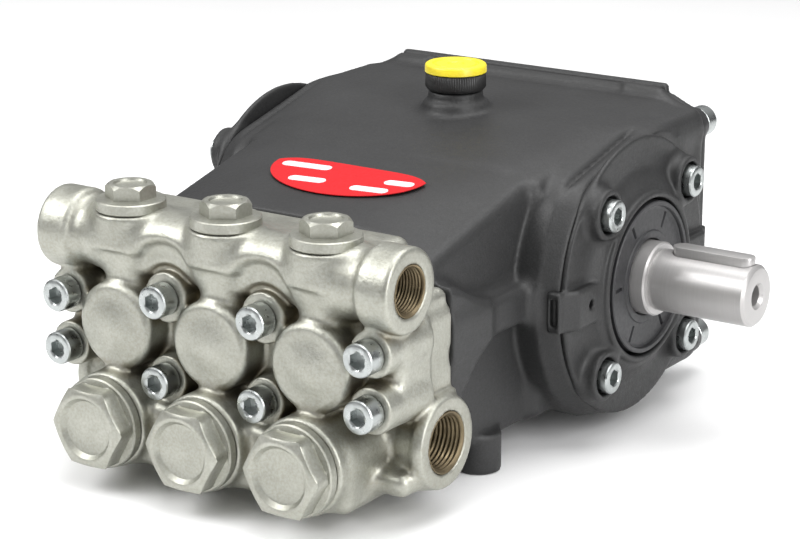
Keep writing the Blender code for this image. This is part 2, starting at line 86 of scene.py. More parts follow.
# ------------------------------------------------------------------ signed distance kit
class Field:
    """Signed distance samples on a regular grid; primitives are blended in locally."""
    MARGIN = 2.5    # cells left round the shape
    FAR = 20.0      # distance where nothing has been added
    PAD = 6.5       # mm round a primitive in which it is felt

    def __init__(self, lo, hi, step):
        self.h = step
        self.lo = np.array(lo, float) - self.MARGIN * step
        n = np.ceil((np.array(hi, float) + self.MARGIN * step - self.lo) / step).astype(int) + 1
        self.ax = [(self.lo[i] + step * np.arange(n[i])).astype(GRID_TYPE) for i in range(3)]
        self.f = np.full(tuple(n), self.FAR, GRID_TYPE)

    def part(self, box, pad):
        """Slices and coordinates of the samples within pad of a box."""
        sl = []
        for i in range(3):
            a = int(np.floor((box[i][0] - pad - self.lo[i]) / self.h))
            b = int(np.ceil((box[i][1] + pad - self.lo[i]) / self.h)) + 1
            sl.append(slice(max(a, 0), max(min(b, len(self.ax[i])), 0)))
        xs = self.ax[0][sl[0]][:, None, None]
        ys = self.ax[1][sl[1]][None, :, None]
        zs = self.ax[2][sl[2]][None, None, :]
        return tuple(sl), xs, ys, zs

    def add(self, prim, k=0.01):
        """Unite with a primitive, the joint rounded over about k mm."""
        shape, box = prim
        sl, x, y, z = self.part(box, k + self.PAD)
        if self.f[sl].size:
            self.f[sl] = smin(self.f[sl], shape(x, y, z), k)

    def cut(self, prim, k=0.01):
        """Take a primitive away, the rim rounded over about k mm."""
        shape, box = prim
        sl, x, y, z = self.part(box, k + self.PAD)
        if self.f[sl].size:
            self.f[sl] = -smin(-self.f[sl], shape(x, y, z), k)

    def keep(self, prim, k=0.01):
        """Keep only what lies inside a primitive."""
        shape, _ = prim
        x, y, z = self.ax[0][:, None, None], self.ax[1][None, :, None], self.ax[2][None, None, :]
        self.f = -smin(-self.f, -shape(x, y, z), k)

    def at(self, p):
        """Field values at points, trilinear."""
        q = (p - self.lo) / self.h
        q = np.clip(q, 0, np.array(self.f.shape) - 1.001)
        c = q.astype(int)
        t = q - c
        out = np.zeros(len(p))
        for n in np.ndindex(2, 2, 2):
            w = np.prod([t[:, i] if n[i] else 1 - t[:, i] for i in range(3)], axis=0)
            out += w * self.f[tuple((c + n).T)]
        return out

    def mesh(self):
        """Surface of the field: one vertex per crossed cell, one quad per crossed grid edge."""
        f, h = self.f, self.h
        inside = f < 0
        total = np.zeros(tuple(s - 1 for s in f.shape), np.int8)
        for c in np.ndindex(2, 2, 2):
            total += inside[tuple(slice(c[i], f.shape[i] - 1 + c[i]) for i in range(3))]
        cells = np.argwhere((total > 0) & (total < 8))
        index = np.full(total.shape, -1, np.int64)
        index[tuple(cells.T)] = np.arange(len(cells))
        corner = {c: f[tuple((cells + c).T)] for c in np.ndindex(2, 2, 2)}
        # a vertex starts at the mean of its cell's edge crossings
        acc = np.zeros((len(cells), 3))
        cnt = np.zeros(len(cells))
        for c in np.ndindex(2, 2, 2):
            for i in range(3):
                if c[i]:
                    continue
                d = list(c)
                d[i] = 1
                a, b = corner[c], corner[tuple(d)]
                hit = (a < 0) != (b < 0)
                t = np.where(hit, a / np.where(hit, a - b, 1.0), 0.0)
                p = np.tile(np.array(c, float), (len(cells), 1))
                p[:, i] += t
                acc += p * hit[:, None]
                cnt += hit
        u = acc / cnt[:, None]
        # and moves along the gradient towards the surface, staying in its cell
        for _ in range(2):
            val = np.zeros(len(cells))
            grad = np.zeros((len(cells), 3))
            for c in np.ndindex(2, 2, 2):
                w = [u[:, i] if c[i] else 1 - u[:, i] for i in range(3)]
                val += corner[c] * w[0] * w[1] * w[2]
                for i in range(3):
                    o = [w[j] for j in range(3) if j != i]
                    grad[:, i] += corner[c] * (1 if c[i] else -1) * o[0] * o[1]
            step = val / np.maximum((grad ** 2).sum(1), 1e-6)
            u = np.clip(u - 0.7 * step[:, None] * grad, 0.02, 0.98)
        verts = (cells + u) * h + self.lo
        quads = []
        for i in range(3):
            j, k = (i + 1) % 3, (i + 2) % 3
            a = inside[tuple(slice(0, -1) if q == i else slice(1, -1) for q in range(3))]
            b = inside[tuple(slice(1, None) if q == i else slice(1, -1) for q in range(3))]
            for flip, cond in ((False, a & ~b), (True, ~a & b)):
                e = np.argwhere(cond)
                off = np.ones(3, int)
                off[i] = 0
                e = e + off
                ring = []
                for dj, dk in ((1, 1), (0, 1), (0, 0), (1, 0)):
                    s = e.copy()
                    s[:, j] -= dj
                    s[:, k] -= dk
                    ring.append(index[tuple(s.T)])
                ring = np.stack(ring, 1)
                quads.append(ring[:, ::-1] if flip else ring)
        return verts, np.concatenate(quads)


def smin(a, b, k):
    """Smaller of two distances, blended where they differ by less than k."""
    if k < 0.02:
        return np.minimum(a, b)
    h = np.clip(0.5 + 0.5 * (b - a) / k, 0, 1)
    return b + (a - b) * h - k * h * (1 - h)


def pick(axis, x, y, z):
    """Coordinate along an axis, then the two across it."""
    return {"X": (x, y, z), "Y": (y, x, z), "Z": (z, x, y)}[axis]


def bounds_of(axis, c1, c2, a, b, r):
    along, one, two = (a, b), (c1 - r, c1 + r), (c2 - r, c2 + r)
    return {"X": (along, one, two), "Y": (one, along, two), "Z": (one, two, along)}[axis]


def cyl(axis, c1, c2, a, b, r, e=0.5, r2=None):
    """Round bar from a to b, edges rounded by e; r2 makes it a cone."""
    a, b = min(a, b), max(a, b)

    def shape(x, y, z):
        s, p, q = pick(axis, x, y, z)
        rad = r if r2 is None else r + (r2 - r) * np.clip((s - a) / (b - a), 0, 1)
        u = np.sqrt((p - c1) ** 2 + (q - c2) ** 2) - (rad - e)
        v = np.abs(s - (a + b) / 2) - ((b - a) / 2 - e)
        return np.minimum(np.maximum(u, v), 0) + np.hypot(np.maximum(u, 0), np.maximum(v, 0)) - e
    return shape, bounds_of(axis, c1, c2, a, b, max(r, r2 or r))


def block(x0, x1, y0, y1, z0, z1, e=1.0):
    """Box with edges rounded by e."""
    c = [(x0 + x1) / 2, (y0 + y1) / 2, (z0 + z1) / 2]
    s = [(x1 - x0) / 2 - e, (y1 - y0) / 2 - e, (z1 - z0) / 2 - e]

    def shape(x, y, z):
        d = [np.abs(v - c[i]) - s[i] for i, v in enumerate((x, y, z))]
        out = np.sqrt(sum(np.maximum(v, 0) ** 2 for v in d))
        return out + np.minimum(np.maximum(np.maximum(d[0], d[1]), d[2]), 0) - e
    return shape, ((x0, x1), (y0, y1), (z0, z1))


def wedge(points, axis="X", a=-200, b=200, e=1.0):
    """Convex outline (two cross values, anticlockwise) as a bar from a to b."""
    pts = [np.array(p, float) for p in points]
    lo, hi = np.min(pts, 0), np.max(pts, 0)

    def shape(x, y, z):
        s, p, q = pick(axis, x, y, z)
        u = None
        for m, n in zip(pts, pts[1:] + pts[:1]):
            t = (n - m) / np.linalg.norm(n - m)
            w = (p - m[0]) * t[1] - (q - m[1]) * t[0] + e
            u = w if u is None else np.maximum(u, w)
        v = np.abs(s - (a + b) / 2) - ((b - a) / 2 - e)
        return np.minimum(np.maximum(u, v), 0) + np.hypot(np.maximum(u, 0), np.maximum(v, 0)) - e
    span = {"X": ((a, b), (lo[0], hi[0]), (lo[1], hi[1])),
            "Y": ((lo[0], hi[0]), (a, b), (lo[1], hi[1])),
            "Z": ((lo[0], hi[0]), (lo[1], hi[1]), (a, b))}[axis]
    return shape, span


def blob(cx, cy, cz, rx, ry, rz):
    """Ellipsoid."""
    def shape(x, y, z):
        k = np.sqrt(((x - cx) / rx) ** 2 + ((y - cy) / ry) ** 2 + ((z - cz) / rz) ** 2)
        return (k - 1) * min(rx, ry, rz)
    return shape, ((cx - rx, cx + rx), (cy - ry, cy + ry), (cz - rz, cz + rz))


# ------------------------------------------------------------------ meshes and pieces
def turned(axis, c1, c2, rings, seg=96):
    """Turned mesh. A ring is (along, radius), or a function of the angles giving both."""
    ang = np.linspace(0, 2 * math.pi, seg, endpoint=False)
    verts, rows = [], []
    for ring in rings:
        along, rad = ring(ang) if callable(ring) else ring
        if not callable(ring) and rad <= 1e-6:
            rows.append([len(verts)])
            verts.append((along, 0.0, 0.0))
            continue
        along, rad = np.broadcast_to(along, ang.shape), np.broadcast_to(rad, ang.shape)
        rows.append(list(range(len(verts), len(verts) + seg)))
        verts += list(zip(along, rad * np.cos(ang), rad * np.sin(ang)))
    faces = []
    closed = len(rows[0]) > 1 and len(rows[-1]) > 1
    for lo, hi in list(zip(rows, rows[1:])) + ([(rows[-1], rows[0])] if closed else []):
        for i in range(seg):
            j = (i + 1) % seg
            if len(lo) == 1:
                faces.append((lo[0], hi[i], hi[j]))
            elif len(hi) == 1:
                faces.append((lo[i], hi[0], lo[j]))
            else:
                faces.append((lo[i], hi[i], hi[j], lo[j]))
    v = np.array(verts)
    s, p, q = v[:, 0], v[:, 1] + c1, v[:, 2] + c2
    out = {"X": (s, p, q), "Y": (p, s, q), "Z": (p, q, s)}[axis]
    return np.stack(out, 1), faces


def hexagon(along, flat, turn=0.0, limit=99.0):
    """Hexagonal ring; limit cuts its corners to that radius."""
    def ring(ang):
        t = np.mod(ang - turn + math.pi / 6, math.pi / 3) - math.pi / 6
        return along, np.minimum(flat / np.cos(t), limit)
    return ring


def hex_edge(along, flat, chamfer, turn=0.0):
    """Hexagonal ring whose corners are chamfered back like a bolt head's."""
    def ring(ang):
        t = np.mod(ang - turn + math.pi / 6, math.pi / 3) - math.pi / 6
        rad = flat / np.cos(t)
        return along + chamfer * (rad - flat) / (HEX_EXCESS * flat), rad
    return ring


def linked(name, data):
    obj = bpy.data.objects.new(name, data)
    bpy.context.scene.collection.objects.link(obj)
    return obj


def from_bmesh(name, bm, mat):
    mesh = bpy.data.meshes.new(name)
    bm.to_mesh(mesh)
    bm.free()
    mesh.materials.append(mat)
    return linked(name, mesh)


def make(name, verts, faces, mat, sharp=None):
    """Object from design frame vertices; sharp is the angle in degrees above which edges stay sharp."""
    mesh = bpy.data.meshes.new(name)
    pts = metres(verts)
    if isinstance(faces, np.ndarray):
        n = len(faces)
        mesh.vertices.add(len(pts))
        mesh.vertices.foreach_set("co", pts.astype(np.float32).ravel())
        mesh.loops.add(n * 4)
        mesh.loops.foreach_set("vertex_index", faces.astype(np.int32).ravel())
        mesh.polygons.add(n)
        mesh.polygons.foreach_set("loop_start", np.arange(0, n * 4, 4, dtype=np.int32))
        mesh.update(calc_edges=True)
    else:
        mesh.from_pydata([tuple(p) for p in pts], [], [tuple(f) for f in faces])
        bm = bmesh.new()
        bm.from_mesh(mesh)
        bmesh.ops.recalc_face_normals(bm, faces=bm.faces[:])
        bm.to_mesh(mesh)
        bm.free()
    mesh.materials.append(mat)
    mesh.shade_smooth()
    if sharp:
        mesh.set_sharp_from_angle(angle=math.radians(sharp))
    return linked(name, mesh)


def merged(*parts):
    """Several (vertices, faces) meshes as one."""
    verts, faces, base = [], [], 0
    for v, f in parts:
        verts.append(np.asarray(v))
        faces += [tuple(int(i) + base for i in q) for q in f]
        base += len(v)
    return np.concatenate(verts), faces


def settle(obj, body, slot, *nodes):
    """Put a piece on its body in place of the CAD nodes named; slot is not used."""
    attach(obj, body)
    if nodes:
        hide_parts(*nodes)
    return obj


# ------------------------------------------------------------------ materials
class Nodes:
    """Short hand for building one procedural material."""

    def __init__(self, name):
        self.mat = bpy.data.materials.new(name)
        self.mat.use_nodes = True
        self.tree = self.mat.node_tree
        self.shader = self.tree.nodes["Principled BSDF"]
        self.coords = self.new("ShaderNodeTexCoord").outputs["Object"]

    def new(self, kind, **values):
        node = self.tree.nodes.new(kind)
        for key, value in values.items():
            setattr(node, key, value)
        return node

    def wire(self, a, b):
        self.tree.links.new(a, b)

    def noise(self, scale, detail=4.0, rough=0.55, stretch=None):
        """Noise of that many cells per metre."""
        tex = self.new("ShaderNodeTexNoise")
        tex.inputs["Scale"].default_value = scale
        tex.inputs["Detail"].default_value = detail
        tex.inputs["Roughness"].default_value = rough
        source = self.coords
        if stretch:
            move = self.new("ShaderNodeMapping")
            move.inputs["Scale"].default_value = stretch
            self.wire(self.coords, move.inputs["Vector"])
            source = move.outputs["Vector"]
        self.wire(source, tex.inputs["Vector"])
        return tex.outputs["Fac"]

    def ramp(self, fac, stops):
        """Colour ramp; a stop is (position, colour or grey level)."""
        node = self.new("ShaderNodeValToRGB")
        node.color_ramp.elements.remove(node.color_ramp.elements[1])
        for i, (pos, color) in enumerate(stops):
            el = node.color_ramp.elements[0] if i == 0 else node.color_ramp.elements.new(pos)
            el.position = pos
            el.color = (*color, 1.0) if isinstance(color, tuple) else (color, color, color, 1.0)
        self.wire(fac, node.inputs["Fac"])
        return node.outputs["Color"]

    def blend(self, fac, a, b, mode="MIX"):
        # inputs 6 and 7 and output 2 are the Mix node's colours
        node = self.new("ShaderNodeMix", data_type="RGBA", blend_type=mode)
        for value, socket in ((fac, node.inputs[0]), (a, node.inputs[6]), (b, node.inputs[7])):
            if isinstance(value, (int, float)):
                socket.default_value = value
            elif isinstance(value, tuple):
                socket.default_value = (*value, 1.0)
            else:
                self.wire(value, socket)
        return node.outputs[2]

    def cavity(self):
        """The cavity attribute of a casting, which drives painted shade in its corners; 0 on pieces that
        have none.
        """
        return self.new("ShaderNodeAttribute", attribute_name="cavity").outputs["Fac"]

    def bump(self, heights, strength=0.5):
        """heights: (socket, depth in mm) pairs, stacked."""
        last = None
        for socket, depth in heights:
            node = self.new("ShaderNodeBump")
            node.inputs["Strength"].default_value = strength
            node.inputs["Distance"].default_value = depth / MM
            self.wire(socket, node.inputs["Height"])
            if last:
                self.wire(last, node.inputs["Normal"])
            last = node.outputs["Normal"]
        self.wire(last, self.shader.inputs["Normal"])

    def done(self, color=None, rough=None, metal=0.0, **fixed):
        """The material; fixed holds values for the shader's own sockets."""
        if color is not None:
            self.wire(color, self.shader.inputs["Base Color"])
        if rough is not None:
            self.wire(rough, self.shader.inputs["Roughness"])
        self.shader.inputs["Metallic"].default_value = metal
        for key, value in fixed.items():
            self.shader.inputs[key.replace("_", " ")].default_value = value
        return self.mat


def nickel_casting(name, cast=1.0):
    """Satin nickel with painted shade darkening its corners; cast scales the depth of its skin."""
    n = Nodes(name)
    cloud = n.ramp(n.noise(55, 5), [(0.3, (0.375, 0.378, 0.335)), (0.7, (0.46, 0.464, 0.418))])
    grain = n.ramp(n.noise(900, 3), [(0.35, (0.86, 0.85, 0.82)), (0.65, (1.0, 1.0, 1.0))])
    color = n.blend(1.0, cloud, grain, "MULTIPLY")
    # painted shade: corners darken towards olive brown by the cavity attribute
    painted_shade = n.ramp(n.cavity(), [(0.2, 0.0), (0.95, 0.85)])
    color = n.blend(painted_shade, color, (0.17, 0.145, 0.095))
    rough = n.ramp(n.noise(140, 4), [(0.3, 0.38), (0.75, 0.52)])
    n.bump([(n.noise(160, 3), 0.5 * cast), (n.noise(700, 4), 0.28 * cast),
            (n.noise(1900, 2), 0.12 * cast)], 0.5)
    return n.done(color, rough, metal=0.88)


def grey_paint(name):
    n = Nodes(name)
    cloud = n.ramp(n.noise(30, 4), [(0.3, (0.021, 0.0211, 0.0213)), (0.7, (0.028, 0.0282, 0.0285))])
    speck = n.ramp(n.noise(1500, 2), [(0.4, (0.8, 0.8, 0.8)), (0.68, (1.15, 1.15, 1.15))])
    color = n.blend(1.0, cloud, speck, "MULTIPLY")
    # painted shade: corners darken towards near black by the cavity attribute
    painted_shade = n.ramp(n.cavity(), [(0.1, 0.0), (0.8, 0.75)])
    color = n.blend(painted_shade, color, (0.008, 0.008, 0.008))
    rough = n.ramp(n.noise(600, 3), [(0.3, 0.42), (0.7, 0.55)])
    n.bump([(n.noise(1250, 3, 0.6), 0.16), (n.noise(90, 3), 0.35)], 0.55)
    return n.done(color, rough, Specular_IOR_Level=0.38)


def plated_steel(name, color, rough, scratch=0.03):
    n = Nodes(name)
    low = tuple(0.86 * c for c in color)
    tone = n.ramp(n.noise(260, 4), [(0.3, low), (0.7, color)])
    streak = n.noise(420, 5, 0.7)
    # painted shade: corners darken towards 0.35 of the tone by the cavity attribute
    painted_corner_shade = n.ramp(n.cavity(), [(0.1, 0.0), (0.9, 0.8)])
    tone = n.blend(painted_corner_shade, tone, tuple(0.35 * c for c in color))
    n.bump([(streak, scratch)], 0.5)
    spread = n.ramp(n.noise(350, 3), [(0.3, rough * 0.8), (0.7, rough * 1.25)])
    return n.done(tone, spread, metal=1.0)


def turned_steel(name, color, rough, stretch, metal=1.0):
    """Ground or turned bar: fine rings run round it."""
    n = Nodes(name)
    rings = n.noise(2500, 3, 0.6, stretch)
    tone = n.ramp(rings, [(0.3, tuple(0.93 * c for c in color)), (0.7, color)])
    n.bump([(rings, 0.004)], 0.3)
    spread = n.ramp(n.noise(200, 3), [(0.3, rough * 0.95), (0.7, rough * 1.05)])
    return n.done(tone, spread, metal=metal)


def moulded(name, color, rough, grain, depth, **fixed):
    """Plastic, rubber, film or ceramic with a fine grain."""
    n = Nodes(name)
    dark = tuple(0.9 * c for c in color)
    light = tuple(min(1.0, 1.05 * c) for c in color)
    tone = n.ramp(n.noise(grain * 0.25, 4), [(0.3, dark), (0.7, light)])
    n.bump([(n.noise(grain, 3), depth)], 0.4)
    spread = n.ramp(n.noise(grain * 0.4, 3), [(0.3, rough * 0.85), (0.7, rough * 1.15)])
    return n.done(tone, spread, **fixed)


NICKEL = nickel_casting("satin_nickel_casting")
NICKEL_CUT = nickel_casting("satin_nickel_machined", 0.35)
PAINT = grey_paint("fine_textured_grey_paint")
ZINC = plated_steel("blue_zinc_plating", (0.46, 0.485, 0.48), 0.3)
GROUND = turned_steel("ground_shaft_steel", (0.44, 0.43, 0.425), 0.34, (1.0, 0.004, 0.004), 0.6)
IRON = plated_steel("cast_iron", (0.25, 0.25, 0.26), 0.55, 0.08)
CERAMIC = moulded("plunger_ceramic", (0.86, 0.84, 0.78), 0.14, 700, 0.01)
RUBBER = moulded("black_seal_rubber", (0.022, 0.022, 0.024), 0.5, 1400, 0.05)
BRASS = turned_steel("packing_brass", (0.72, 0.54, 0.26), 0.32, (1.0, 0.05, 1.0))
BORE = plated_steel("stained_thread", (0.20, 0.16, 0.10), 0.5, 0.05)
YELLOW = moulded("yellow_plastic", (0.80, 0.66, 0.03), 0.36, 1100, 0.03)
BLACK = moulded("black_plastic", (0.02, 0.02, 0.02), 0.42, 1200, 0.05)
RED = moulded("red_film", (0.52, 0.010, 0.014), 0.5, 1600, 0.008, Specular_IOR_Level=0.2)
WHITE = moulded("white_print", (0.66, 0.66, 0.69), 0.4, 1600, 0.006)
GLASS = moulded("sight_glass_plastic", (0.55, 0.58, 0.5), 0.12, 500, 0.006)


# ------------------------------------------------------------------ castings
def evaluated_mesh(obj):
    """The object's mesh after its modifiers."""
    return bpy.data.meshes.new_from_object(obj.evaluated_get(bpy.context.evaluated_depsgraph_get()))


def casting(name, field, mat):
    """Mesh of a field with a cavity attribute for painted corner shade: 1 deep in a corner, 0 in the open.
    """
    verts, quads = field.mesh()
    obj = make(name, verts, quads, mat)
    tris = 2 * len(quads)
    if tris > FACE_LIMIT:
        mod = obj.modifiers.new("thin_out", "DECIMATE")
        mod.ratio = FACE_LIMIT / tris
        flat = evaluated_mesh(obj)
        obj.modifiers.clear()
        obj.data = flat
    mesh = obj.data
    mesh.shade_smooth()
    co = np.empty(len(mesh.vertices) * 3, np.float32)
    no = np.empty(len(mesh.vertices) * 3, np.float32)
    mesh.vertices.foreach_get("co", co)
    mesh.vertices.foreach_get("normal", no)
    p = co.reshape(-1, 3).astype(float) * MM + OFF
    no = no.reshape(-1, 3)
    hidden = np.zeros(len(p))
    for d in CAVITY_REACH:
        hidden += np.clip(1 - field.at(p + no * d) / d, 0, 1) / len(CAVITY_REACH)
    attr = mesh.attributes.new("cavity", "FLOAT", "POINT")
    attr.data.foreach_set("value", hidden.astype(np.float32))
    return obj


def build_manifold():
    f = Field((-82, -2, -53), (82, 60, 51), step=1.0)
    # body, top and lower blocks with the upper gallery between the ports
    f.add(block(-60, 60, 19, BACK, -46, 43, 5))
    f.add(block(-78, 78, 17, BACK, -17, 17, 5), 5)
    f.add(block(-75.8, 75.8, 33, BACK, -17, 26, 4), 4)
    f.add(block(-63, 63, 4, BACK, -52, -25, 4), 4)
    f.add(cyl("X", UP_Y, UP_Z, -60, 60, 12.6, 3), 4)
    f.add(block(-60, 60, 10, 36, 32, 43, 5), 4)
    for s in (-1, 1):
        f.add(cyl("X", UP_Y, UP_Z, s * 50, s * 70, 13.0, 2), 4)
        f.add(cyl("X", UP_Y, UP_Z, s * 67, s * UP_X, 16.0, 1.5), 4)
        f.add(cyl("X", LOW_Y, LOW_Z, s * 50, s * 79, 14.2, 1.0), 4)
        # the lower neck widens towards its port flange
        lo, hi = (14.2, 17.4) if s > 0 else (17.4, 14.2)
        f.add(cyl("X", LOW_Y, LOW_Z, s * 70, s * 79, lo, 1.0, hi), 3)
        f.add(cyl("X", LOW_Y, LOW_Z, s * 76.6, s * LOW_X, 17.8, 1.3), 1.5)
    # niches between the upper domes
    for x, z in IN_SCREWS[:2]:
        f.cut(cyl("Y", x, 24.0, -8, 10.2, 14.2, 4.5), 3)
        f.cut(cyl("Y", x, 17.0, -8, 12.6, 11.5, 3), 2)
    # cap bosses, domes and plug bosses
    for x in CYL_X:
        f.add(cyl("Z", x, CAP_Y - 0.5, 10, 31, 9.4, 2), 5)
        f.add(cyl("Z", x, CAP_Y, 32, CAP_SEAT, 14.3, 0.8), 3.5)
        f.add(cyl("Y", x, AX_Z - 1.8, 4.4, 26, 17.2, 3.0), 2.5)
        f.add(blob(x, 13.5, AX_Z - 1.8, 15.6, 10.9, 15.6), 2)
        f.add(cyl("Y", x, PLUG_Z, PLUG_SEAT, 40, 18.8, 0.8), 4)
    for x, z in IN_SCREWS:
        f.add(cyl("Y", x, z, HEAD_SEAT, 26, 9.8 if z > 0 else 9.0, 0.6), 2.0)
    for x, z in OUT_SCREWS:
        f.add(cyl("Y", x, z, HEAD_SEAT, BACK, 8.9, 0.6), 3)
    for s in (-1, 1):
        f.add(block(*sorted((s * 50, s * 78)), 19, BACK, -47, -38, 4), 5)
        brace = [(22, -40), (30, -40), (52, -27), (46, -24)]
        f.add(wedge(brace, "X", *sorted((s * 60, s * 72)), 1.2), 2)
    for s in (-1, 1):
        f.cut(block(*sorted((s * 76.8, s * 90)), 37, 60, -12, 40, 1), 2)
    f.cut(block(-80, 80, BACK, 70, -19, 60, 0.1))
    f.cut(block(-64.6, 64.6, BACK, 70, -60, -10, 0.1))
    for x, z in HEAD_SCREWS:
        r = 7.7 if z > 0 or abs(x) > 50 else 9.4
        f.cut(cyl("Y", x, z, -20, HEAD_SEAT, r, 0.2), 0.6)
        f.cut(cyl("Y", x, z, 5, BACK + 2, CLEAR_R, 0.1))
    # bores of each cylinder: packing, plunger, valves, cap and plug
    for x in CYL_X:
        f.cut(cyl("Y", x, AX_Z, 38, BACK + 2, 15.0, 0.2))
        f.cut(cyl("Y", x, AX_Z, 13.5, 40, 10.0, 0.2))
        f.cut(cyl("Z", x, CAP_Y + 2, 6, 23, 4.5, 0.2))
        f.cut(cyl("Z", x, CAP_Y, 22, CAP_SEAT + 2, 8.6, 0.2))
        f.cut(cyl("Z", x, CAP_Y, 38.5, CAP_SEAT + 2, 10.4, 0.2))
        f.cut(cyl("Y", x, PLUG_Z, -4, 28, 11.5, 0.2))
        f.cut(cyl("Y", x, PLUG_Z, -4, 11, 14.4, 0.2))
        f.cut(cyl("Z", x, 20.5, -28, 0, 5.0, 0.2))
        f.cut(cyl("Y", x, PLUG_Z + 2, 27, LOW_Y, 6.5, 0.2))
    # galleries and port threads
    f.cut(cyl("X", UP_Y, UP_Z, -90, 90, 5.5, 0.1))
    f.cut(cyl("X", LOW_Y, LOW_Z, -90, 90, 6.5, 0.1))
    for s in (-1, 1):
        f.cut(cyl("X", UP_Y, UP_Z, s * 66, s * 90, 9.9, 0.2))
        f.cut(cyl("X", LOW_Y, LOW_Z, s * 66, s * 90, 12.1, 0.2))
    obj = casting("manifold_casting", f, NICKEL)
    return settle(obj, "housing", "nickel", "manifold")


def sided(points, s):
    """Outline points mirrored in x for s = -1, still anticlockwise."""
    return [(s * x, y) for x, y in points][::s]


def rear_rim(f, y0, y1, top, k):
    """Outline shared by the crankcase's rear rim and the cover."""
    f.add(block(-67, 67, y0, y1, -52, top, 2.0), k)
    for s in (-1, 1):
        f.add(wedge(sided([(50, -52), (78, -50.5), (84.5, -44), (84.5, 52), (81.5, 57.5),
                           (69, 63.5), (50, 66.5)], s), "Y", y0, y1, 1.2), k)


def shoulder(s):
    """Half space under the sloping shoulder beside the top plane."""
    p = np.array([40.0, 94.0, top_height(94.0)])
    along = np.array([29.0, 84.0, 84.0 * math.tan(SLOPE)])   # the edge spreads towards the rear
    out = np.array([math.cos(math.radians(15)), 0.0, -math.sin(math.radians(15))])
    n = np.cross(out, along)
    n /= np.linalg.norm(n)

    def shape(x, y, z):
        return (s * x - p[0]) * n[0] + (y - p[1]) * n[1] + (z - p[2]) * n[2]
    return shape, None


def top_height(y):
    """Height of the sloping top of the crankcase."""
    return FRONT_TOP + (y - FRONT_Y) * math.tan(SLOPE)


def build_crankcase():
    f = Field((-86, 52, -60), (86, REAR_Y, 68), step=1.25)
    f.add(wedge([(FRONT_Y, -44), (90, -48), (REAR_Y, -50), (REAR_Y, 63.5), (FILLER_Y, CREST),
                 (FRONT_Y, FRONT_TOP)], "X", -67.5, 67.5, 3))
    f.add(block(-71.5, 71.5, 122, REAR_Y, -47, 60, 3), 6)
    # at each side the bearing drum, its step, a wing and a rib towards the manifold, and the rear flank
    for s in (-1, 1):
        f.add(cyl("X", SHAFT_Y, AX_Z, *sorted((s * 50, s * 79)), 61.0, 1.5), 2)
        lo, hi = (61.0, 57.0) if s > 0 else (57.0, 61.0)
        f.add(cyl("X", SHAFT_Y, AX_Z, *sorted((s * 78, s * 86.1)), lo, 0.4, hi), 1)
        f.add(wedge([(48, -24), (60, -21), (80, -2), (80, 12), (60, 23), (48, 27)],
                    "X", *sorted((s * 50, s * 76.3)), 3), 5)
        f.add(block(*sorted((s * 50, s * 75.5)), FRONT_Y, 116, -2.5, 12, 3), 7)
        f.cut(cyl("X", LOW_Y, LOW_Z, *sorted((s * 64.5, s * 95)), 18.2, 0.3), 0.6)
        f.add(block(*sorted((s * 50, s * 85.0)), 184, REAR_Y, -46, 60, 4), 8)
    for s in (-1, 1):
        f.keep(shoulder(s), 5)
    f.keep(wedge([(40, -52), (240, -52), (240, 64.1), (FILLER_Y, CREST), (40, 41.6)],
                 "X", -95, 95, 1), 2)
    # feet, rear rim, cover screw bosses and filler neck
    for s in (-1, 1):
        for y in (92.0, 222.0):
            f.add(cyl("Z", s * 63.7, y, -60, -44, 8.8, 0.8), 3)
    rear_rim(f, 227.5, REAR_Y, 66.8, 4)
    for x, z in COVER_SCREWS:
        f.add(cyl("Y", x, z, 208, REAR_Y, 8.3, 1.5), 3)
    f.add(cyl("Z", 0, FILLER_Y, 55, 64.6, 13.4, 1.5), 5)
    f.add(cyl("Z", 0, FILLER_Y, 55, 68.4, 11.4, 0.6), 1.5)
    f.keep(block(-86, 86, FRONT_Y, REAR_Y, -60, 70, 0.1))
    # crank chamber, guide bores, bearing seats and screw holes
    f.cut(wedge([(130, -42), (240, -44), (240, 57), (FILLER_Y, 55), (130, 32)], "X", -64, 64, 1))
    for x in CYL_X:
        f.cut(cyl("Y", x, AX_Z, 72, 132, 18.4, 0.2))
        f.cut(cyl("Y", x, AX_Z, 50, 62, 14.0, 0.2))
        f.cut(cyl("Y", x, AX_Z, 60, 74, 9.5, 0.2))
    for x, z in HEAD_SCREWS:
        f.cut(cyl("Y", x, z, 50, 69, CLEAR_R, 0.1))
    for s in (-1, 1):
        f.cut(cyl("X", SHAFT_Y, AX_Z, s * 60, s * 90, 40.3, 0.2))
        for y, z in FLANGE_SPOTS:
            f.cut(cyl("X", y, z, s * 69, s * 90, CLEAR_R, 0.1))
    for x, z in COVER_SCREWS:
        f.cut(cyl("Y", x, z, 216, 235, CLEAR_R, 0.1))
    f.cut(cyl("Z", 0, FILLER_Y, 50, 70, 8.6, 0.1))
    obj = casting("crankcase_casting", f, PAINT)
    return settle(obj, "housing", "paint", "crankcase")


